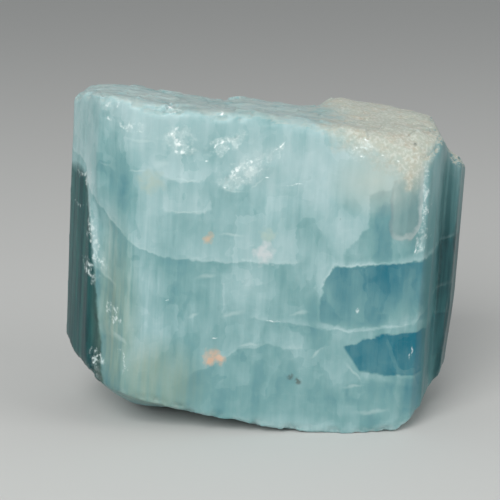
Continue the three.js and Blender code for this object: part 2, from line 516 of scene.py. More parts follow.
def start_tree(name, inputs):
    """A Geometry Nodes tree with a geometry in and out and these (name, kind, default) inputs."""
    tree = bpy.data.node_groups.new(name, "GeometryNodeTree")
    tree.interface.new_socket("Geometry", in_out="INPUT", socket_type="NodeSocketGeometry")
    for label, kind, default in inputs:
        item = tree.interface.new_socket(label, in_out="INPUT", socket_type="NodeSocket" + kind)
        if default is not None:
            item.default_value = default
    tree.interface.new_socket("Geometry", in_out="OUTPUT", socket_type="NodeSocketGeometry")
    given = tree.nodes.new("NodeGroupInput").outputs
    return tree, given


def end_tree(tree, geometry, material):
    """Ends a tree in Realize Instances and Set Material."""
    plain = add(tree, "GeometryNodeRealizeInstances", {"Geometry": geometry})
    done = add(tree, "GeometryNodeSetMaterial", {"Geometry": plain, "Material": material})
    result = tree.nodes.new("NodeGroupOutput")
    tree.links.new(done, result.inputs["Geometry"])


def prism_place(tree, position):
    """(mm place, upright place, its x, y and z): the upright place has the prism's lean taken out."""
    place = add(tree, VECTOR, {0: position, "Scale": 1 / MM}, operation="SCALE")
    split = add(tree, SPLIT, {"Vector": place}).node.outputs
    drift = add(tree, MATH, (split["Z"], LEAN, -LEAN * LEAN_LEVEL), operation="MULTIPLY_ADD")
    x = add(tree, MATH, (split["X"], drift), operation="SUBTRACT")
    upright = add(tree, JOIN, {"X": x, "Y": split["Y"], "Z": split["Z"]})
    return place, upright, x, split["Y"], split["Z"]


# Skin


def build_skin_tree():
    """Displaces the skin: ribs along the prism faces, facets on the breaks, chips on the edges."""
    tree, given = start_tree(
        "crystal_skin",
        [
            ("Rib height", "Float", 0.16 * MM),
            ("Rib pitch", "Float", 1.5 * MM),
            ("Facet size", "Float", 2.4 * MM),
            ("Facet height", "Float", 0.45 * MM),
            ("Chip depth", "Float", 0.7 * MM),
            ("Material", "Material", None),
        ],
    )
    start = add(tree, "GeometryNodeInputPosition")
    place, upright, x, _, z = prism_place(tree, start)
    normal = add(tree, "GeometryNodeInputNormal")
    up = add(tree, SPLIT, {"Vector": normal}, out="Z")
    steep = add(tree, MATH, (up,), operation="ABSOLUTE")
    broken = add(tree, RANGE, {"Value": steep, "From Min": 0.35, "From Max": 0.62}, **SMOOTH)
    on_face = add(tree, MATH, (1.0, broken), operation="SUBTRACT")

    # The upper edge is worn round, most of all at the right
    worn = {"Value": start, "Iterations": 28}
    worn = add(tree, "GeometryNodeBlurAttribute", worn, data_type="FLOAT_VECTOR")
    upper = add(tree, RANGE, {"Value": z, "From Min": 26.5, "From Max": 30.5}, **SMOOTH)
    rightward = add(tree, RANGE, {"Value": x, "From Min": -8.0, "From Max": 7.0, "To Min": 0.45})
    upper = add(tree, MATH, (upper, rightward), operation="MULTIPLY")
    worn = add(tree, MIX, {"Factor": upper, "A": start, "B": worn}, data_type="VECTOR")

    # Growth ribs: noise drawn out along the prism
    drawn = add(tree, VECTOR, (upright, (1, 1, 0.02)), operation="MULTIPLY")
    rib_scale = add(tree, MATH, (MM, given["Rib pitch"]), operation="DIVIDE")
    rib = add(tree, NOISE, {"Vector": drawn, "Scale": rib_scale, "Detail": 3.0}, out=0)
    rib = add(tree, MATH, (rib, 0.5), operation="SUBTRACT")
    rib = add(tree, MATH, (rib, given["Rib height"]), operation="MULTIPLY")
    rib = add(tree, MATH, (rib, on_face), operation="MULTIPLY")

    # Facets: each cell of a break is a plane with a tilt of its own
    facet_scale = add(tree, MATH, (MM, given["Facet size"]), operation="DIVIDE")
    facet = 0.0
    for finer, share in ((1.0, 1.0), (2.7, 0.35)):
        scale = add(tree, MATH, (facet_scale, finer), operation="MULTIPLY")
        cell = add(tree, "ShaderNodeTexVoronoi", {"Vector": place, "Scale": scale}).node.outputs
        away = add(tree, VECTOR, (place, cell["Position"]), operation="SUBTRACT")
        away = add(tree, VECTOR, {0: away, "Scale": scale}, operation="SCALE")
        lie = add(tree, VECTOR, (cell["Color"], (0.5, 0.5, 0.5)), operation="SUBTRACT")
        tilt = add(tree, VECTOR, (away, lie), out="Value", operation="DOT_PRODUCT")
        facet = add(tree, MATH, (tilt, share, facet), operation="MULTIPLY_ADD")
    facet = add(tree, MATH, (facet, given["Facet height"]), operation="MULTIPLY")

    # Worn edges: where the blurred normals of neighbours disagree
    blurred = add(
        tree, "GeometryNodeBlurAttribute", {"Value": normal, "Iterations": 7}, data_type="FLOAT_VECTOR"
    )
    agree = add(tree, VECTOR, (blurred,), out="Value", operation="LENGTH")
    edge = add(tree, RANGE, {"Value": agree, "From Min": 0.985, "From Max": 0.9}, **SMOOTH)
    spots = add(tree, NOISE, {"Vector": place, "Scale": 0.42, "Detail": 3.0})
    spots = add(tree, RANGE, {"Value": spots, "From Min": 0.47, "From Max": 0.75})
    chip = add(tree, MATH, (edge, spots), operation="MULTIPLY")
    dent = add(tree, MATH, (chip, given["Chip depth"]), operation="MULTIPLY")

    # Facets show on the breaks, in the chips and in the flakes
    flake = marks(tree, place, FLAKES, 0.4)
    bare = add(tree, MATH, (broken, chip), operation="MAXIMUM")
    bare = add(tree, MATH, (flake, 0.55, bare), operation="MULTIPLY_ADD")
    facet = add(tree, MATH, (facet, bare), operation="MULTIPLY")
    calm = add(tree, RANGE, {"Value": z, "From Min": 3.0, "From Max": 9.0, "To Min": 0.4})
    facet = add(tree, MATH, (facet, calm), operation="MULTIPLY")
    out = add(tree, MATH, (rib, facet), operation="ADD")
    out = add(tree, MATH, (out, dent), operation="SUBTRACT")
    move = add(tree, VECTOR, {0: normal, "Scale": out}, operation="SCALE")
    moved = add(tree, VECTOR, (worn, move), operation="ADD")
    moved = add(tree, VECTOR, (moved, (-1, -1, 0)), operation="MAXIMUM")
    skin = add(tree, "GeometryNodeSetPosition", {"Geometry": given["Geometry"], "Position": moved})
    wear = add(tree, MATH, (edge, chip), operation="ADD")
    skin = add(
        tree, "GeometryNodeStoreNamedAttribute", {"Geometry": skin, "Name": "wear", "Value": wear},
        data_type="FLOAT",
    )
    skin = add(tree, "GeometryNodeSetShadeSmooth", {"Geometry": skin})
    end_tree(tree, skin, given["Material"])
    return tree


def off_centre(tree, place, centre, radii, turn):
    """0 at the centre of an ellipsoid and 1 at its skin, in mm and degrees as seen from the front."""
    away = add(tree, VECTOR, (place, centre), operation="SUBTRACT")
    if turn:
        away = {"Vector": away, "Angle": math.radians(turn), "Axis": (0, 1, 0)}
        away = add(tree, "ShaderNodeVectorRotate", away, rotation_type="AXIS_ANGLE")
    away = add(tree, VECTOR, (away, radii), operation="DIVIDE")
    return add(tree, VECTOR, (away,), out="Value", operation="LENGTH")


def blob(tree, place, centre, radii, turn=0.0):
    """1 at the centre of an ellipsoid, falling to 0 at its skin."""
    off = off_centre(tree, place, centre, radii, turn)
    return add(tree, RANGE, {"Value": off, "From Min": 1.0, "From Max": 0.0})


def veil_level(x, line):
    """Height of a veil's line at x."""
    return np.interp(x, [p[0] for p in line], [p[1] for p in line])


def outline(tree, flat, corners):
    """Distance in mm into a convex outline, negative outside it. `flat` is the vector (x, 1, z)."""
    inside = 9.0
    for (x, z), (next_x, next_z) in zip(corners, corners[1:] + corners[:1]):
        length = math.hypot(next_x - x, next_z - z)
        across, up = (next_z - z) / length, (x - next_x) / length
        side = (across, -(across * x + up * z), up)
        side = add(tree, VECTOR, (flat, side), out="Value", operation="DOT_PRODUCT")
        inside = add(tree, MATH, (side, inside, 0.4), operation="SMOOTH_MIN")
    return inside


def veil_fields(tree, veil, x, y, z, wobble):
    """(cloud, rim): a veil's signed cloudiness, and the bright line where it meets a face."""
    line = veil["line"]
    first, last = line[0][0], line[-1][0]
    heights = [p[1] for p in line]
    low, high = min(heights), max(heights)
    share = add(tree, RANGE, {"Value": x, "From Min": first, "From Max": last})
    curve = add(tree, "ShaderNodeFloatCurve", {"Value": share})
    points = curve.node.mapping.curves[0].points
    while len(points) < len(line):
        points.new(0.5, 0.5)
    for point, (px, pz) in zip(points, line):
        point.location = ((px - first) / (last - first), (pz - low) / (high - low))
        point.handle_type = "VECTOR"
    curve.node.mapping.update()
    level = add(tree, MATH, (curve, high - low, low), operation="MULTIPLY_ADD")
    level = add(tree, MATH, (y, veil["tilt"], level), operation="MULTIPLY_ADD")
    level = add(tree, MATH, (level, -FRONT_Y * veil["tilt"]), operation="ADD")
    above = add(tree, MATH, (z, level), operation="SUBTRACT")
    above = add(tree, MATH, (above, wobble), operation="SUBTRACT")

    enter = add(tree, RANGE, {"Value": x, "From Min": first, "From Max": first + 1.0}, **SMOOTH)
    leave = add(tree, RANGE, {"Value": x, "From Min": last, "From Max": last - 4.0}, **SMOOTH)
    within = add(tree, MATH, (enter, leave), operation="MULTIPLY")
    over = {"Value": above, "From Min": veil["over"], "From Max": 0.0, "To Max": veil["milk"]}
    over = add(tree, RANGE, over, **SMOOTH)
    under = {"Value": above, "From Min": -veil["under"], "From Max": 0.0, "To Max": -veil["clear"]}
    under = add(tree, RANGE, under, **SMOOTH)
    side = add(tree, RANGE, {"Value": above, "From Min": -0.1, "From Max": 0.1}, **SMOOTH)
    cloud = add(tree, MIX, {"Factor": side, "A": under, "B": over}, data_type="FLOAT")
    cloud = add(tree, MATH, (cloud, within), operation="MULTIPLY")
    rim = {"Value": above, "From Min": VEIL_RIM * 1.5, "From Max": 0.0, "To Max": veil["rim"]}
    rim = add(tree, RANGE, rim)
    rim = add(tree, MATH, (rim, side), operation="MULTIPLY")
    rim = add(tree, MATH, (rim, within), operation="MULTIPLY")
    return cloud, rim


def marks(tree, place, shapes, edge, depth=5):
    """1 in every mark of this list of ((x, z), half length, half width, turn), `depth` mm into the stone."""
    nearest = 1.0
    for (x, z), long, wide, turn in shapes:
        off = off_centre(tree, place, (x, FRONT_Y, z), (long, depth, wide), turn)
        nearest = add(tree, MATH, (off, nearest), operation="MINIMUM")
    inside = {"Value": nearest, "From Min": 1.0, "From Max": 1.0 - edge}
    return add(tree, RANGE, inside, **SMOOTH)


def stone_fields(tree):
    """The places and the noise fields that every mask of the stone is made from."""
    f = SimpleNamespace()
    position = add(tree, "ShaderNodeTexCoord", out="Object")
    f.place, f.upright, _, f.y, f.z = prism_place(tree, position)
    f.x = add(tree, SPLIT, {"Vector": f.place}, out="X")
    normal = add(tree, "ShaderNodeNewGeometry", out="True Normal")
    f.up = add(tree, SPLIT, {"Vector": normal}, out="Z")

    # Clouds of the body, from 10 mm down to 1 mm
    f.wide = add(tree, NOISE, {"Vector": f.place, "Scale": 0.11, "Detail": 2.0})
    tall = add(tree, VECTOR, (f.upright, (1, 1, 0.6)), operation="MULTIPLY")
    f.middle = add(tree, NOISE, {"Vector": tall, "Scale": 0.36, "Detail": 3.0, "Roughness": 0.5})
    f.drawn = add(tree, VECTOR, (f.upright, (1, 1, 0.05)), operation="MULTIPLY")
    f.streak = add(tree, NOISE, {"Vector": f.drawn, "Scale": 1.2, "Detail": 5.0, "Roughness": 0.65})
    f.grain = add(tree, NOISE, {"Vector": f.place, "Scale": 1.6, "Detail": 2.0})
    f.sugar = add(tree, NOISE, {"Vector": f.place, "Scale": 3.0, "Detail": 2.0})
    return f


WARP = 1.6  # mm that the blocks' borders wander
WOBBLE = 1.3  # mm that a veil wanders
FIELD_SHARES = {"wide": 0.30, "middle": 0.50, "streak": 0.30, "grain": 0.05}
BLOCK_SHARE = 0.22
WISP_SHARE = 0.12
RIB_SHARE = 1.1


def milkiness(tree, f):
    """(milk, rims): how milky the body is, from 0 to 1, and the bright lines of the veils."""
    # Blocks: columns of growth, each with a cloudiness of its own, ending in steps
    warp = add(tree, NOISE, {"Vector": f.place, "Scale": 0.5, "Detail": 3.0}, out="Color")
    warp = add(tree, VECTOR, (warp, (WARP, WARP, WARP), f.upright), operation="MULTIPLY_ADD")
    small = 0.0
    for cells, share in (((0.30, 0.30, 0.17), 0.6), ((0.75, 0.6, 0.42), 0.4)):
        block = add(tree, VECTOR, (warp, cells), operation="MULTIPLY")
        block = {"Vector": block, "Scale": 1.0}
        block = add(tree, "ShaderNodeTexVoronoi", block, out="Color", distance="CHEBYCHEV")
        block = add(tree, SPLIT, {"Vector": block}, out="X")
        block = add(tree, MATH, (block, 0.5), operation="SUBTRACT")
        small = add(tree, MATH, (block, share, small), operation="MULTIPLY_ADD")

    # Wisps: thin cloudy sheets that lie nearly flat, seen edge on
    lying = add(tree, VECTOR, (warp, (0.20, 0.20, 0.75)), operation="MULTIPLY")
    wisps = {"Vector": lying, "Scale": 1.0, "Detail": 3.0, "Roughness": 0.5, "Offset": 1.0, "Gain": 2.0}
    wisps = add(tree, NOISE, wisps, noise_type="RIDGED_MULTIFRACTAL")
    wisps = add(tree, RANGE, {"Value": wisps, "From Min": 1.4, "From Max": 2.6})
    gate = add(tree, RANGE, {"Value": f.wide, "From Min": 0.42, "From Max": 0.58})
    wisps = add(tree, MATH, (wisps, gate), operation="MULTIPLY")

    # The body is milkier upwards
    base = {"Value": f.z, "From Min": 4.0, "From Max": 31.0, "To Min": 0.51, "To Max": 0.75}
    milk = add(tree, RANGE, base)
    for field, weight in FIELD_SHARES.items():
        centred = add(tree, MATH, (getattr(f, field), 0.5), operation="SUBTRACT")
        milk = add(tree, MATH, (centred, weight, milk), operation="MULTIPLY_ADD")
    milk = add(tree, MATH, (small, BLOCK_SHARE, milk), operation="MULTIPLY_ADD")
    milk = add(tree, MATH, (wisps, WISP_SHARE, milk), operation="MULTIPLY_ADD")
    for centre, radii, turn, weight in CLOUDS:
        cloud = blob(tree, f.place, centre, radii, turn)
        milk = add(tree, MATH, (cloud, weight, milk), operation="MULTIPLY_ADD")

    # Growth ribs show as strong streaks near the left edge
    ribbed = blob(tree, f.place, (-16.0, FRONT_Y, 14.0), (6.5, 8, 16.0))
    centred = add(tree, MATH, (f.streak, 0.5), operation="SUBTRACT")
    ribbed = add(tree, MATH, (ribbed, centred), operation="MULTIPLY")
    milk = add(tree, MATH, (ribbed, RIB_SHARE, milk), operation="MULTIPLY_ADD")

    # Veils
    f.wobble = add(tree, NOISE, {"Vector": f.place, "Scale": 0.6, "Detail": 4.0, "Roughness": 0.6})
    f.wobble = add(tree, MATH, (f.wobble, WOBBLE, -WOBBLE / 2), operation="MULTIPLY_ADD")
    broken = add(tree, RANGE, {"Value": f.middle, "From Min": 0.40, "From Max": 0.60, "To Min": 0.15})
    rims = 0.0
    for veil in VEILS.values():
        cloud, rim = veil_fields(tree, veil, f.x, f.y, f.z, f.wobble)
        milk = add(tree, MATH, (milk, cloud), operation="ADD")
        rims = add(tree, MATH, (rim, rims), operation="ADD")
    rims = add(tree, MATH, (rims, broken), operation="MULTIPLY")
    return milk, rims


PATCH_TILT = 0.1  # mm that a window's border rises per mm inwards
PATCH_WANDER = 0.8  # how far a window's side borders wander, as a share of the veils' wobble
SLAB_LEAN = -0.25  # mm to the side per mm of height


def windows(tree, f, milk):
    """(milk, slab, slab_rim_highlight): the milkiness with the windows cut in, and the slab and the painted
    highlight along its border.
    """
    f.level = add(tree, MATH, (f.y, -PATCH_TILT, FRONT_Y * PATCH_TILT), operation="MULTIPLY_ADD")
    f.level = add(tree, MATH, (f.level, f.z), operation="ADD")
    f.level = add(tree, MATH, (f.level, f.wobble), operation="SUBTRACT")
    shifted = add(tree, MATH, (f.wobble, PATCH_WANDER, f.x), operation="MULTIPLY_ADD")
    flat = add(tree, JOIN, {"X": shifted, "Y": 1.0, "Z": f.level})
    shallow = add(tree, RANGE, {"Value": f.y, "From Min": 7.0, "From Max": 0.0})
    for name, patch in PATCHES.items():
        depth = outline(tree, flat, patch["outline"])
        inside = {"Value": depth, "From Min": -patch["border"] / 2, "From Max": patch["border"] / 2}
        inside = add(tree, RANGE, inside, **SMOOTH)
        inside = add(tree, MATH, (inside, shallow), operation="MULTIPLY")
        (high, at_high), (low, at_low) = patch["milk"]
        amount = {"Value": f.z, "From Min": high, "From Max": low, "To Min": at_high, "To Max": at_low}
        amount = add(tree, RANGE, amount)
        milk = add(tree, MATH, (inside, amount, milk), operation="MULTIPLY_ADD")
        if name == "slab":
            slab = inside
            # Painted highlight along the slab's border, brighter towards its right side
            slab_rim_highlight = add(tree, RANGE, {"Value": depth, "From Min": 0.7, "From Max": 0.25}, **SMOOTH)
            slab_rim_highlight = add(tree, MATH, (slab_rim_highlight, inside), operation="MULTIPLY")
            side = add(tree, MATH, (f.level, SLAB_LEAN, f.x), operation="MULTIPLY_ADD")
            side = add(tree, RANGE, {"Value": side, "From Min": 7.4, "From Max": 9.0, "To Min": 0.25})
            slab_rim_highlight = add(tree, MATH, (slab_rim_highlight, side), operation="MULTIPLY")
    return milk, slab, slab_rim_highlight


END_WANDER = 0.6  # how far the borders of the ends wander, as a share of the veils' wobble
LEFT_LEAN = 0.07  # mm that the left band widens per mm of height lost
LEFT_STREAKS = (-0.7, 1.1)  # darkness of the left band: slope and start over the pale lines
RIGHT_STREAKS = (-0.4, 1.0)


def tinted_and_shaded_ends(tree, f):
    """(right_tint_and_shade, left, ends): the teal of the right faces and the left band, both partly painted
    shade of the side faces, and the dark of both.
    """
    # Painted shade of the side faces over their clear, dark stone, streaked along the prism; the left one
    # only under the upper veil
    lines = add(tree, RANGE, {"Value": f.streak, "From Min": 0.40, "From Max": 0.62})
    f.ragged = add(tree, MATH, (f.wobble, END_WANDER, f.x), operation="MULTIPLY_ADD")
    drift = add(tree, MATH, (f.z, LEFT_LEAN, f.ragged), operation="MULTIPLY_ADD")
    left = add(tree, RANGE, {"Value": drift, "From Min": -17.05, "From Max": -17.5}, **SMOOTH)
    below = add(tree, RANGE, {"Value": f.level, "From Min": 27.6, "From Max": 26.3})
    left = add(tree, MATH, (left, below), operation="MULTIPLY")
    # The painted shade of the left band fades towards the back
    front = add(tree, RANGE, {"Value": f.y, "From Min": 6.0, "From Max": -5.0, "To Min": 0.2}, **SMOOTH)
    left = add(tree, MATH, (left, front), operation="MULTIPLY")
    pale = add(tree, MATH, (lines, *LEFT_STREAKS), operation="MULTIPLY_ADD")
    dark = add(tree, MATH, (left, pale), operation="MULTIPLY")
    right_tint_and_shade = add(tree, RANGE, {"Value": f.ragged, "From Min": 16.5, "From Max": 17.4}, **SMOOTH)
    # The right column faces get a darker painted shade still
    column = {"Value": f.ragged, "From Min": 18.5, "From Max": 19.4, "To Min": 0.3, "To Max": 0.95}
    column = add(tree, RANGE, column, **SMOOTH)
    lower = add(tree, RANGE, {"Value": f.z, "From Min": 31.5, "From Max": 20.0, "To Min": 0.35})
    right_tint_and_shade = add(tree, MATH, (right_tint_and_shade, lower), operation="MULTIPLY")
    right = add(tree, MATH, (right_tint_and_shade, column), operation="MULTIPLY")
    pale = add(tree, MATH, (lines, *RIGHT_STREAKS), operation="MULTIPLY_ADD")
    ends = add(tree, MATH, (right, pale, dark), operation="MULTIPLY_ADD")
    return right_tint_and_shade, left, ends


GREENS = [((-16.4, FRONT_Y, 12.0), (3.6, 6, 14.0)), ((-12.5, FRONT_Y, 5.5), (7.0, 6, 6.0))]


def green_tinge(tree, f):
    """Greenish, iron-tinged stone along the left edge, in ellipsoids of (centre, radii)."""
    green = 0.0
    for centre, radii in GREENS:
        tinge = blob(tree, f.place, centre, radii)
        green = add(tree, MATH, (tinge, green), operation="MAXIMUM")
    green = add(tree, RANGE, {"Value": green, "From Max": 0.6})
    veined = add(tree, RANGE, {"Value": f.streak, "From Min": 0.3, "From Max": 0.7, "To Min": 0.3})
    return add(tree, MATH, (green, veined), operation="MULTIPLY")


CRUST_REACH = 6.0  # mm that the crust's border is torn
CRUST_WAVES = 7.0  # mm that its border swings
CRUST_SLANT = 0.75  # mm that its border drops per mm to the right
CRUST_OUTER = -0.5  # the same for its end at the right edge
FRINGE = ((11.6, FRONT_Y, 27.6), (5.5, 6, 4.0))  # centre and radii of the pale fringe
FRINGE_SHARE = 0.8


def crust_masks(tree, f):
    """(crust, fringe_and_lit_top, rusty): the iron-stained crust of the right shoulder; its pale fringe,
    with a pale dusty tone on the upward faces that is partly painted light; its rust.
    """
    crumbs = add(tree, NOISE, {"Vector": f.place, "Scale": 0.55, "Detail": 7.0, "Roughness": 0.7})
    reach = add(tree, MATH, (crumbs, CRUST_REACH, -CRUST_REACH / 2), operation="MULTIPLY_ADD")
    slant = add(tree, MATH, (f.x, CRUST_SLANT, f.z), operation="MULTIPLY_ADD")
    slant = add(tree, MATH, (slant, reach), operation="ADD")
    slant = add(tree, MATH, (f.wide, CRUST_WAVES, slant), operation="MULTIPLY_ADD")
    crust = add(tree, RANGE, {"Value": slant, "From Min": 40.3, "From Max": 43.9}, **SMOOTH)
    far = add(tree, RANGE, {"Value": f.x, "From Min": -3.0, "From Max": 9.0})
    crust = add(tree, MATH, (crust, far), operation="MULTIPLY")
    outer = add(tree, MATH, (f.z, CRUST_OUTER, f.ragged), operation="MULTIPLY_ADD")
    outer = add(tree, RANGE, {"Value": outer, "From Min": 3.0, "From Max": 1.4})
    top = add(tree, RANGE, {"Value": f.up, "From Min": 0.3, "From Max": 0.7})
    outer = add(tree, MATH, (outer, top), operation="MAXIMUM")
    crust = add(tree, MATH, (crust, outer), operation="MULTIPLY")
    # Pale dusty tone on the upward faces: partly dust, partly painted light that makes the top lighter
    dusty_and_lit_top = add(tree, RANGE, {"Value": crumbs, "From Min": 0.3, "From Max": 0.6, "To Max": 0.6})
    dusty_and_lit_top = add(tree, MATH, (dusty_and_lit_top, top), operation="MULTIPLY")
    fringe_and_lit_top = blob(tree, f.place, *FRINGE)
    fringe_and_lit_top = add(tree, MATH, (fringe_and_lit_top, FRINGE_SHARE, dusty_and_lit_top), operation="MULTIPLY_ADD")
    rusty = add(tree, RANGE, {"Value": crumbs, "From Min": 0.5, "From Max": 0.68})
    rusty = add(tree, MATH, (rusty, crust), operation="MULTIPLY")
    return crust, fringe_and_lit_top, rusty


TEAR = 3.4  # mm that the outlines of scars and bruises are torn
# CRAZE also tears the painted glints of the cracks
CRAZE = 0.21  # the same for cracks and lips, as a share of TEAR
BRUISE_DEPTH = 16  # mm that a bruise reaches round the left edge
EDGE_WHITE = 0.16  # how white the worn edges are


def white_and_glint_masks(tree, f, rims):
    """(white, cracks_and_glints, lips): white of bruised edges, flake scars with painted sparkle, and veil
    rims; white cracks with painted glints; step lips.
    """
    wear = add(tree, "ShaderNodeAttribute", out="Fac", attribute_name="wear")
    tear = add(tree, NOISE, {"Vector": f.place, "Scale": 0.9, "Detail": 3.0}, out="Color")
    f.torn = add(tree, VECTOR, (tear, (0.5, 0.5, 0.5)), operation="SUBTRACT")
    f.torn = add(tree, VECTOR, (f.torn, (TEAR, 0, TEAR), f.place), operation="MULTIPLY_ADD")
    # Flake scars: a pale haze with painted sparkle, bright dots that stand in for glints on the chips
    scars_and_sparkle = marks(tree, f.torn, FLAKES, 0.85)
    haze = add(tree, NOISE, {"Vector": f.torn, "Scale": 1.1, "Detail": 4.0})
    haze = {"Value": haze, "From Min": 0.40, "From Max": 0.62, "To Min": 0.1, "To Max": 0.55}
    haze = add(tree, RANGE, haze)
    sparkle_dots = add(tree, RANGE, {"Value": f.sugar, "From Min": 0.53, "From Max": 0.66})
    sparkle_and_haze = add(tree, MATH, (sparkle_dots, 0.5, haze), operation="MULTIPLY_ADD")
    scars_and_sparkle = add(tree, MATH, (scars_and_sparkle, sparkle_and_haze), operation="MULTIPLY")
    bruises = marks(tree, f.torn, BRUISES, 0.7, BRUISE_DEPTH)
    f.rough = add(tree, RANGE, {"Value": f.grain, "From Min": 0.40, "From Max": 0.58, "To Max": 0.8})
    fleck = add(tree, RANGE, {"Value": f.sugar, "From Min": 0.47, "From Max": 0.60, "To Max": 0.6})
    fleck = add(tree, MATH, (f.rough, 0.3, fleck), operation="MULTIPLY_ADD")
    bruises = add(tree, MATH, (bruises, fleck), operation="MULTIPLY")
    white = add(tree, MATH, (scars_and_sparkle, bruises), operation="MAXIMUM")
    edges = add(tree, MATH, (wear, f.rough), operation="MULTIPLY")
    edges = add(tree, MATH, (edges, EDGE_WHITE), operation="MULTIPLY")
    white = add(tree, MATH, (white, edges), operation="MAXIMUM")
    white = add(tree, MATH, (white, rims), operation="MAXIMUM")
    crazed = add(tree, VECTOR, (f.torn, f.place), operation="SUBTRACT")
    crazed = add(tree, VECTOR, (crazed, (CRAZE, 0, CRAZE), f.place), operation="MULTIPLY_ADD")
    # White cracks with painted glints, broken into tiny bright dots
    cracks_and_glints = marks(tree, crazed, CRACKS_AND_GLINTS, 0.8)
    sparkle_dots = add(tree, RANGE, {"Value": f.sugar, "From Min": 0.42, "From Max": 0.56, "To Min": 0.15})
    cracks_and_glints = add(tree, MATH, (cracks_and_glints, sparkle_dots), operation="MULTIPLY")
    lips = marks(tree, crazed, LIPS, 0.9)
    return white, cracks_and_glints, lips


def beryl(colours):
    """Aquamarine, a blue-green beryl, clouded by healed fractures and fine hollow tubes.

    The eye sees a glassy skin over a body that is milky in places and clear and deep in others.
    """
    material, tree = start_material("aquamarine_beryl")
    f = stone_fields(tree)
    milk, rims = milkiness(tree, f)
    milk, slab, slab_rim_highlight = windows(tree, f, milk)
    ramp = add(tree, "ShaderNodeValToRGB", {"Fac": milk})
    stops = ramp.node.color_ramp.elements
    stops[0].position = 0.0
    stops[0].color = [*colours.deep, 1]
    stops[1].position = 1.0
    stops[1].color = [*colours.milky, 1]
    stop = stops.new(0.5)
    stop.color = [*colours.body, 1]

    right_tint_and_shade, left, ends = tinted_and_shaded_ends(tree, f)
    green = green_tinge(tree, f)
    crust, fringe_and_lit_top, rusty = crust_masks(tree, f)
    white, cracks_and_glints, lips = white_and_glint_masks(tree, f, rims)
    frost = add(tree, RANGE, {"Value": f.sugar, "From Min": 0.46, "From Max": 0.64})
    frost = add(tree, MATH, (frost, crust), operation="MULTIPLY")

    colour = ramp
    layers = [
        # Dark teal of the side faces: partly the clear stone's own colour, partly painted shade
        (right_tint_and_shade, "#3b8284", 0.75),
        (left, "#22605c", 0.96),
        (ends, "#0b4044", 0.98),
        (green, "#8b9c88", 0.7),
        (slab, "#80928f", 0.4),
        # Painted highlight on the slab's border
        (slab_rim_highlight, "#b6c4c3", 0.65),
        # Pale fringe and dusty upward faces, partly painted light on the top
        (fringe_and_lit_top, "#b7c2ba", 1.0),
        (crust, "#aeb0a2", 0.85),
        (rusty, "#b59a80", 0.34),
        (frost, "#d2d6cf", 0.42),
        (lips, "#bfd1cf", 0.36),
        # White of bruises, worn edges and veil rims, with the painted sparkle of the flake scars
        (white, "#cfdcda", 1.0),
        # Painted glints of the small cracks
        (cracks_and_glints, "#eef4f2", 0.9),
    ]
    for (sx, sz), radius, tint in STAINS:
        stain = blob(tree, f.torn, (sx, FRONT_Y, sz), (radius, 3, radius * 1.1))
        thick = add(tree, MATH, (f.grain, 1.4, 0.3), operation="MULTIPLY_ADD")
        stain = add(tree, MATH, (stain, thick), operation="MULTIPLY")
        stain = {"Value": stain, "From Min": 0.05, "From Max": 0.75}
        layers.append((add(tree, RANGE, stain), tint, 0.75))
    specks = marks(tree, f.place, [(spot, r, r, 0) for spot, r in SPECKS], 0.6)
    specks = add(tree, MATH, (specks, f.rough), operation="MULTIPLY")
    layers.append((specks, "#56605a", 0.9))
    for mask, tint, strength in layers:
        mask = add(tree, MATH, (mask, strength), operation="MULTIPLY", use_clamp=True)
        colour = add(tree, MIX, {"Factor": mask, "A": colour, "B": srgb(tint)}, data_type="RGBA")

    hidden = add(tree, MATH, (crust, white), operation="MAXIMUM")
    seen = {"Value": milk, "From Min": 0.05, "From Max": 0.7, "To Min": 0.32, "To Max": 0.06}
    seen = add(tree, RANGE, seen)
    shut = add(tree, MATH, (1.0, hidden), operation="SUBTRACT", use_clamp=True)
    seen = add(tree, MATH, (seen, shut), operation="MULTIPLY")
    gloss = {"Value": f.streak, "From Min": 0.35, "From Max": 0.65, "To Min": 0.30, "To Max": 0.36}
    gloss = add(tree, RANGE, gloss)
    gloss = add(tree, MIX, {"Factor": crust, "A": gloss, "B": 0.6}, data_type="FLOAT")

    # Fine striations, flake facets and grain, too fine for the mesh
    fine = add(tree, NOISE, {"Vector": f.drawn, "Scale": 3.2, "Detail": 3.0})
    height = add(tree, MIX, {"Factor": 0.4, "A": fine, "B": f.grain}, data_type="FLOAT")
    height = add(tree, MATH, (f.sugar, 0.4, height), operation="MULTIPLY_ADD")
    uneven = add(tree, RANGE, {"Value": hidden, "To Min": 0.22, "To Max": 1.0})
    bump = add(tree, "ShaderNodeBump", {"Height": height, "Strength": uneven, "Distance": 0.07 * MM})

    shader = add(
        tree,
        SHADER,
        {
            "Base Color": colour,
            "Roughness": gloss,
            "IOR": 1.577,
            "Specular IOR Level": 0.2,
            "Transmission Weight": seen,
            "Subsurface Weight": 0.6,
            "Subsurface Radius": (0.8, 1.0, 1.0),
            "Subsurface Scale": 0.7 * MM,
            "Normal": bump,
        },
    )
    water = add(tree, "ShaderNodeVolumeAbsorption", {"Color": srgb("#2fb4c4"), "Density": 70.0})
    end_material(tree, shader, water)
    return material


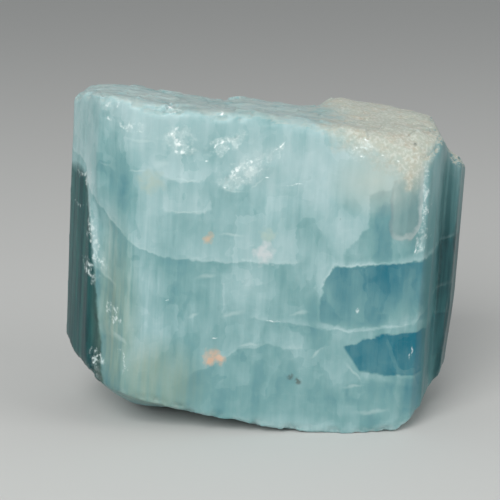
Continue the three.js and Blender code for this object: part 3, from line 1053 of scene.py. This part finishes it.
def veil_stone():
    """Healed fracture in beryl: a film of tiny fluid bubbles. It gives the eye a soft white sheet."""
    material, tree = start_material("healed_fracture")
    position = add(tree, "ShaderNodeTexCoord", out="Object")
    place = add(tree, VECTOR, {0: position, "Scale": 1 / MM}, operation="SCALE")
    film = add(tree, NOISE, {"Vector": place, "Scale": 0.35, "Detail": 5.0, "Roughness": 0.6})
    density = add(
        tree, RANGE, {"Value": film, "From Min": 0.35, "From Max": 0.7, "To Min": 0.15, "To Max": 0.85},
    )
    colour = add(tree, MIX, {"Factor": film, "A": srgb("#a9c6c6"), "B": srgb("#dfe7e4")}, data_type="RGBA")
    shader = add(tree, SHADER, {"Base Color": colour, "Roughness": 0.7, "IOR": 1.33, "Alpha": density})
    end_material(tree, shader)
    return material


class AQUAMARINE_OT_crystal(bpy.types.Operator):
    """Makes the crystal's fine skin around the frame's solid"""

    bl_idname = "aquamarine.crystal"
    bl_label = "Crystal"

    def execute(self, context):
        sizes = context.scene.aquamarine.crystal
        solid = bmesh.new()
        solid.from_mesh(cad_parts[NODE].data)
        bmesh.ops.remove_doubles(solid, verts=solid.verts, dist=0.001 * MM)
        mesh = bpy.data.meshes.new("crystal_skin")
        solid.to_mesh(mesh)
        solid.free()
        piece = put("crystal_skin", mesh)
        cells = piece.modifiers.new("cells", "REMESH")
        cells.mode = "VOXEL"
        cells.voxel_size = sizes.voxel
        cells.use_smooth_shade = True
        soften = piece.modifiers.new("soften", "SMOOTH")
        soften.factor = 0.5
        soften.iterations = 3
        make_plain(piece)
        run_nodes(
            piece,
            build_skin_tree(),
            {
                "Rib height": sizes.rib_height,
                "Rib pitch": sizes.rib_pitch,
                "Facet size": sizes.facet_size,
                "Facet height": sizes.facet_height,
                "Chip depth": sizes.chip_depth,
                "Material": beryl(sizes),
            },
        )
        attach(piece, BODY)
        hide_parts(NODE)
        return {"FINISHED"}


class AQUAMARINE_OT_veils(bpy.types.Operator):
    """Makes the healed fractures that cross the inside of the crystal"""

    bl_idname = "aquamarine.veils"
    bl_label = "Fracture veils"

    def execute(self, context):
        sizes = context.scene.aquamarine.inside
        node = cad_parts[NODE].data
        walls = BVHTree.FromPolygons([v.co for v in node.vertices], [p.vertices for p in node.polygons])
        low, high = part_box(NODE)
        stone = veil_stone()
        for name, veil in VEILS.items():
            piece = put(name, veil_sheet(name, veil, walls, low, high), stone)
            wall = piece.modifiers.new("thickness", "SOLIDIFY")
            wall.thickness = sizes.veil_thickness
            wall.offset = 0
            make_plain(piece)
            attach(piece, BODY)
        return {"FINISHED"}


def veil_sheet(name, veil, walls, low, high):
    """One veil's curved sheet, from the front of the crystal to its back."""
    first, last = veil["line"][0][0], veil["line"][-1][0]
    first = max(first, low.x / MM + VEIL_ENDS)
    last = min(last, high.x / MM - VEIL_ENDS)
    xs = np.arange(first, last, VEIL_STEP)
    rows = int((high.y - low.y) / MM / VEIL_STEP)
    points = []
    for x in xs:
        level = float(veil_level(x, veil["line"]))
        middle = Vector((x, 0, level + veil["tilt"] * -FRONT_Y)) * MM
        front = walls.ray_cast(middle, Vector((0, -1, 0)))[0]
        back = walls.ray_cast(middle, Vector((0, 1, 0)))[0]
        if front is None or back is None:
            continue
        start, stop = front.y / MM + VEIL_INSET, back.y / MM - VEIL_INSET
        column = []
        for row in range(rows + 1):
            y = start + (stop - start) * row / rows
            rough = VEIL_ROUGH * noise.noise(Vector((x, y, level)) * VEIL_ROUGH)
            column.append(Vector((x, y, level + veil["tilt"] * (y - FRONT_Y) + rough)) * MM)
        points.append(column)
    mesh = bpy.data.meshes.new(name)
    count = rows + 1
    faces = [
        (i * count + j, i * count + j + 1, (i + 1) * count + j + 1, (i + 1) * count + j)
        for i in range(len(points) - 1)
        for j in range(rows)
    ]
    mesh.from_pydata([p for column in points for p in column], [], faces)
    mesh.polygons.foreach_set("use_smooth", [True] * len(faces))
    return mesh


def build_tube_tree():
    """Growth tubes: hair-thin tubes inside the stone, along the prism, none of them reaching its skin."""
    tree, given = start_tree(
        "growth_tubes",
        [
            ("Count", "Float", 140.0),
            ("Radius", "Float", 0.07 * MM),
            ("Length", "Float", 9 * MM),
            ("Seed", "Int", 7),
            ("Material", "Material", None),
        ],
    )
    solid = {"Mesh": given["Geometry"], "Voxel Size": 0.8 * MM, "Interior Band Width": 1 * MM}
    solid = add(tree, "GeometryNodeMeshToVolume", solid, resolution_mode="VOXEL_SIZE")
    per_volume = add(tree, MATH, (given["Count"], CRYSTAL_VOLUME), operation="DIVIDE")
    points = {"Volume": solid, "Density": per_volume, "Seed": given["Seed"]}
    points = add(tree, "GeometryNodeDistributePointsInVolume", points)
    near = add(tree, "GeometryNodeProximity", {"Geometry": given["Geometry"]}, out="Distance")
    longest = add(tree, MATH, (near, 1.5), operation="MULTIPLY")
    wanted = add(tree, RANDOM, {"Min": 0.2, "Max": 1.0, "Seed": given["Seed"]}, data_type="FLOAT")
    wanted = add(tree, MATH, (wanted, given["Length"]), operation="MULTIPLY")
    length = add(tree, MATH, (wanted, longest), operation="MINIMUM")
    deep = add(tree, "FunctionNodeCompare", (near, 0.5 * MM), operation="LESS_THAN")
    points = add(tree, "GeometryNodeDeleteGeometry", {"Geometry": points, "Selection": deep})
    tube = {"Vertices": 8, "Radius": given["Radius"], "Depth": 1 * MM}
    tube = add(tree, "GeometryNodeMeshCylinder", tube)
    width = add(tree, RANDOM, {"Min": 0.4, "Max": 1.0, "Seed": 3}, data_type="FLOAT")
    stretch = add(tree, MATH, (length, 1 * MM), operation="DIVIDE")
    size = add(tree, JOIN, {"X": width, "Y": width, "Z": stretch})
    lean = (0, math.atan(LEAN), 0)
    tubes = {"Points": points, "Instance": tube, "Rotation": lean, "Scale": size}
    tubes = add(tree, "GeometryNodeInstanceOnPoints", tubes)
    end_tree(tree, tubes, given["Material"])
    return tree


def tube_fluid():
    """Fluid in a hollow growth tube. It gives the eye a hair-thin pale line inside the stone."""
    material, tree = start_material("fluid_filled_tube")
    position = add(tree, "ShaderNodeTexCoord", out="Object")
    place = add(tree, VECTOR, {0: position, "Scale": 1 / MM}, operation="SCALE")
    bubbles = add(tree, NOISE, {"Vector": place, "Scale": 1.4, "Detail": 2.0})
    colour = {"Factor": bubbles, "A": srgb("#9fc0c1"), "B": srgb("#e4ecea")}
    colour = add(tree, MIX, colour, data_type="RGBA")
    shader = add(tree, SHADER, {"Base Color": colour, "Roughness": 0.35, "IOR": 1.33})
    end_material(tree, shader)
    return material


def build_crumb_tree():
    """Crumbs: small stained grains, scattered closely around each point of the given mesh."""
    tree, given = start_tree(
        "stained_crumbs",
        [
            ("Spread", "Float", CRUMB_SPREAD * MM),
            ("Seed", "Int", 7),
            ("Material", "Material", None),
        ],
    )
    reach = add(tree, JOIN, {"X": given["Spread"], "Y": given["Spread"], "Z": given["Spread"]})
    back = add(tree, VECTOR, {0: reach, "Scale": -1.0}, operation="SCALE")
    shift = add(tree, RANDOM, {"Min": back, "Max": reach, "Seed": given["Seed"]}, data_type="FLOAT_VECTOR")
    points = add(tree, "GeometryNodeSetPosition", {"Geometry": given["Geometry"], "Offset": shift})
    crumb = add(tree, "GeometryNodeMeshIcoSphere", {"Radius": CRUMB_RADIUS * MM, "Subdivisions": 2})
    place = add(tree, "GeometryNodeInputPosition")
    lump = add(tree, NOISE, {"Vector": place, "Scale": 0.35 / MM}, out="Color")
    lump = add(tree, VECTOR, (lump, (0.5, 0.5, 0.5)), operation="SUBTRACT")
    lump = add(tree, VECTOR, {0: lump, "Scale": CRUMB_LUMP * MM}, operation="SCALE")
    size = add(tree, RANDOM, {"Min": 0.5, "Max": 1.1, "Seed": 5}, data_type="FLOAT")
    crumbs = add(tree, "GeometryNodeInstanceOnPoints", {"Points": points, "Instance": crumb, "Scale": size})
    crumbs = add(tree, "GeometryNodeRealizeInstances", {"Geometry": crumbs})
    crumbs = add(tree, "GeometryNodeSetPosition", {"Geometry": crumbs, "Offset": lump})
    end_tree(tree, crumbs, given["Material"])
    return tree


def iron_oxide():
    """Goethite, a hydrated iron oxide. It gives the eye a rusty orange grain under the skin."""
    material, tree = start_material("goethite")
    position = add(tree, "ShaderNodeTexCoord", out="Object")
    place = add(tree, VECTOR, {0: position, "Scale": 1 / MM}, operation="SCALE")
    rust = add(tree, NOISE, {"Vector": place, "Scale": 3.0, "Detail": 3.0})
    colour = add(tree, MIX, {"Factor": rust, "A": srgb("#c98a5e"), "B": srgb("#e3b595")}, data_type="RGBA")
    shader = add(tree, SHADER, {"Base Color": colour, "Roughness": 0.8, "IOR": 2.26})
    end_material(tree, shader)
    return material


class AQUAMARINE_OT_inclusions(bpy.types.Operator):
    """Makes the growth tubes and the rusty crumbs sealed in the crystal"""

    bl_idname = "aquamarine.inclusions"
    bl_label = "Tubes and crumbs"

    def execute(self, context):
        sizes = context.scene.aquamarine.inside
        tubes = put("growth_tubes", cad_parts[NODE].data.copy())
        values = {"Count": float(sizes.tube_count), "Radius": sizes.tube_radius, "Length": sizes.tube_length}
        run_nodes(tubes, build_tube_tree(), {**values, "Seed": sizes.seed, "Material": tube_fluid()})
        crumb_seats = bpy.data.meshes.new("stained_crumbs")
        depth = FRONT_Y + CRUMB_DEPTH
        rusty = [Vector((x, depth, z)) * MM for (x, z), _, _ in STAINS[:RUSTY_STAINS]]
        seats = [seat for seat in rusty for _ in range(CRUMBS_PER_STAIN)]
        crumb_seats.from_pydata(seats, [], [])
        crumbs = put("stained_crumbs", crumb_seats)
        values = {"Spread": CRUMB_SPREAD * MM, "Seed": sizes.seed, "Material": iron_oxide()}
        run_nodes(crumbs, build_crumb_tree(), values)
        for piece in (tubes, crumbs):
            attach(piece, BODY)
        return {"FINISHED"}


class AQUAMARINE_OT_stage(bpy.types.Operator):
    """Makes the floor, the lights and the camera"""

    bl_idname = "aquamarine.stage"
    bl_label = "Stage"

    def execute(self, context):
        stage = context.scene.aquamarine.stage
        floor = put("floor", floor_mesh(), floor_paper(stage.floor))
        target = Vector(TARGET) * MM
        back = Vector((0, -math.cos(stage.elevation), math.sin(stage.elevation)))
        lens = bpy.data.cameras.new("camera")
        lens.lens = LENS
        lens.sensor_width = SENSOR
        lens.clip_start = 0.01
        lens.clip_end = 20
        camera = bpy.data.objects.new("camera", lens)
        context.scene.collection.objects.link(camera)
        camera.location = target + back * stage.distance
        camera.rotation_euler = back.to_track_quat("Z", "Y").to_euler()
        context.scene.camera = camera

        for name, (place, size) in LAMPS.items():
            lamp = bpy.data.lights.new(name, "AREA")
            lamp.energy = getattr(stage, name + "_power")
            lamp.size = size
            light = bpy.data.objects.new(name, lamp)
            context.scene.collection.objects.link(light)
            light.location = place
            light.rotation_euler = (light.location - target).to_track_quat("Z", "Y").to_euler()

        world = bpy.data.worlds.new("studio")
        world.use_nodes = True
        sky = world.node_tree.nodes["Background"].inputs
        sky["Color"].default_value = srgb(SKY)
        sky["Strength"].default_value = SKY_STRENGTH
        context.scene.world = world
        context.scene.view_settings.view_transform = "Standard"
        return {"FINISHED"}


def floor_mesh():
    """A floor that reaches past every view."""
    mesh = bpy.data.meshes.new("floor")
    corners = [(x * FLOOR_REACH, y * FLOOR_REACH, 0) for x, y in ((-1, -1), (1, -1), (1, 1), (-1, 1))]
    mesh.from_pydata(corners, [], [(0, 1, 2, 3)])
    return mesh


def floor_paper(colour):
    """Matt backdrop paper. It gives the eye a pale floor that takes a soft shadow."""
    material, tree = start_material("floor_paper")
    shader = add(tree, SHADER, {"Base Color": [*colour, 1], "Roughness": 0.9})
    end_material(tree, shader)
    return material


class AQUAMARINE_PT_panel(bpy.types.Panel):
    """Lists the steps that build the crystal"""

    bl_idname = "AQUAMARINE_PT_panel"
    bl_label = "Aquamarine crystal"
    bl_space_type = "VIEW_3D"
    bl_region_type = "UI"
    bl_category = "Aquamarine"

    def draw(self, context):
        for step in STEPS:
            self.layout.operator(step.bl_idname)
        for group in (context.scene.aquamarine.crystal, context.scene.aquamarine.inside):
            box = self.layout.box()
            for name in group.__annotations__:
                box.prop(group, name)


STEPS = (AQUAMARINE_OT_crystal, AQUAMARINE_OT_veils, AQUAMARINE_OT_inclusions, AQUAMARINE_OT_stage)
CLASSES = (
    AQUAMARINE_PG_crystal,
    AQUAMARINE_PG_inside,
    AQUAMARINE_PG_stage,
    AQUAMARINE_PG_all,
    *STEPS,
    AQUAMARINE_PT_panel,
)


def register():
    for kind in CLASSES:
        bpy.utils.register_class(kind)
    bpy.types.Scene.aquamarine = PointerProperty(type=AQUAMARINE_PG_all)


def unregister():
    del bpy.types.Scene.aquamarine
    for kind in reversed(CLASSES):
        bpy.utils.unregister_class(kind)


def main():
    """Builds everything in order."""
    register()
    bpy.ops.aquamarine.crystal()
    bpy.ops.aquamarine.veils()
    bpy.ops.aquamarine.inclusions()
    bpy.ops.aquamarine.stage()


if __name__ == "__main__":
    main()
